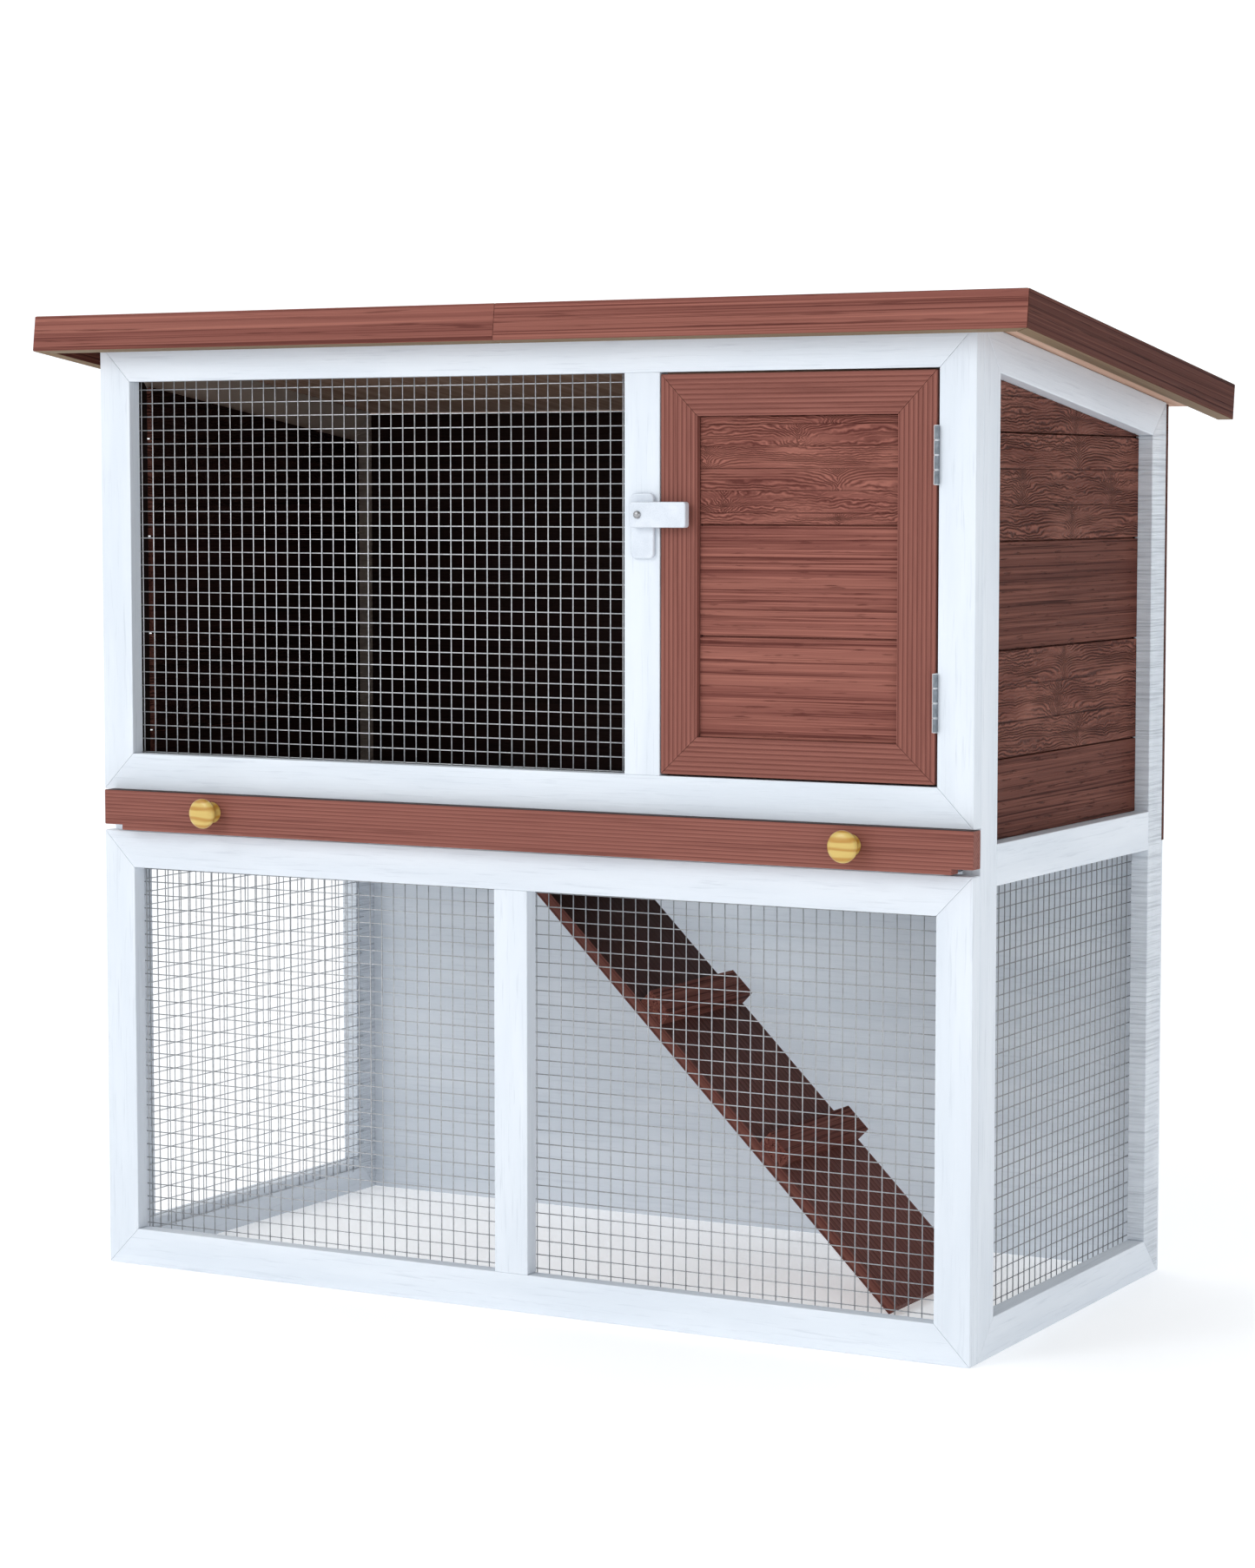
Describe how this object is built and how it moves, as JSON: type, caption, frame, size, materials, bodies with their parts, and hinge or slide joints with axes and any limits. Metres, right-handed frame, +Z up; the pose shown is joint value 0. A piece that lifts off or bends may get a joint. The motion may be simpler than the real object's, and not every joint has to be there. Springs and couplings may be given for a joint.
{
  "type": "rabbit hutch",
  "caption": "Two-storey wooden rabbit hutch with a mesh run, boarded cabin, framed door, turn button, pull-out tray, ramp and lean-to roof.",
  "frame": {"origin": "on the ground under the middle of the whole hutch, between the tray knobs and the rear edge of the roof", "axes": "+Z up, front facing -Y, +X to the right as seen from the front"},
  "size_m": [1.0134, 0.5116, 0.9057],
  "materials": {
    "white_paint": "white satin paint over softwood",
    "brown_stain": "red-brown semi-matt stain over grained softwood",
    "dark_stain": "dark red-brown stain",
    "bare_wood": "unpainted board",
    "pine": "clear-lacquered turned pine",
    "felt": "charcoal mineral roofing felt",
    "wire": "galvanised welded wire",
    "zinc_sheet": "galvanised sheet",
    "steel": "zinc-plated steel",
    "white_plastic": "white moulded plastic"
  },
  "bodies": {
    "body": {"lower_front_rail_bottom": "white_paint", "lower_front_rail_top": "white_paint", "lower_front_stile_left": "white_paint", "lower_front_stile_right": "white_paint", "lower_front_upright": "white_paint", "upper_front_rail_bottom": "white_paint", "upper_front_rail_top": "white_paint", "upper_front_stile_left": "white_paint", "upper_front_stile_right": "white_paint", "upper_front_upright": "white_paint", "side_left_stile_front": "white_paint", "side_left_stile_rear": "white_paint", "side_left_rail_bottom": "white_paint", "side_left_rail_middle": "white_paint", "side_left_rail_top": "white_paint", "side_right_stile_front": "white_paint", "side_right_stile_rear": "white_paint", "side_right_rail_bottom": "white_paint", "side_right_rail_middle": "white_paint", "side_right_rail_top": "white_paint", "side_left_boards": "dark_stain", "side_right_boards": "dark_stain", "back_panel_upper": "dark_stain", "back_panel_lower": "white_paint", "rear_cross_rail": "white_paint", "ramp_bearer": "white_paint", "mesh_window": "wire", "mesh_run_left": "wire", "mesh_run_right": "wire", "mesh_side_left": "wire", "mesh_side_right": "wire", "roof_fascia_front_left": "brown_stain", "roof_fascia_front_right": "brown_stain", "roof_fascia_left": "brown_stain", "roof_fascia_right": "brown_stain", "roof_deck": "bare_wood", "roof_felt": "felt", "hinge_lower_frame_leaf": "steel", "hinge_upper_frame_leaf": "steel", "ramp_hinge_fixed_leaf": "steel", "latch_screw": "steel", "latch_plate": "white_plastic"},
    "door": {"door_rail_bottom": "brown_stain", "door_rail_top": "brown_stain", "door_stile_left": "brown_stain", "door_stile_right": "brown_stain", "door_board_bottom": "brown_stain", "door_board_middle": "brown_stain", "door_board_top": "brown_stain", "hinge_lower_door_leaf": "steel", "hinge_upper_door_leaf": "steel"},
    "turn_button": {"latch_bar": "white_plastic"},
    "tray": {"tray_front_board": "brown_stain", "tray_pan": "zinc_sheet", "tray_knob_left": "pine", "tray_knob_right": "pine"},
    "ramp": {"ramp_board": "brown_stain", "ramp_cleat_upper": "brown_stain", "ramp_cleat_lower": "brown_stain", "ramp_hinge_moving_leaf": "steel"}
  },
  "joints": [
    {"name": "door_hinge", "type": "hinge", "parent": "body", "child": "door", "pos_m": [0.41505, -0.2212, 0.668], "axis": [0, 0, 1], "range_deg": [0, 180]},
    {"name": "turn_button_pivot", "type": "hinge", "parent": "body", "child": "turn_button", "pos_m": [0.1364, -0.2276, 0.7202], "axis": [0, -1, 0], "continuous": true},
    {"name": "tray_slide", "type": "slide", "parent": "body", "child": "tray", "axis": [0, -1, 0], "range_m": [0, 0.4]},
    {"name": "ramp_hinge", "type": "hinge", "parent": "body", "child": "ramp", "pos_m": [-0.10357, 0.0152, 0.40334], "axis": [0, -1, 0], "range_deg": [0, 20]}
  ]
}
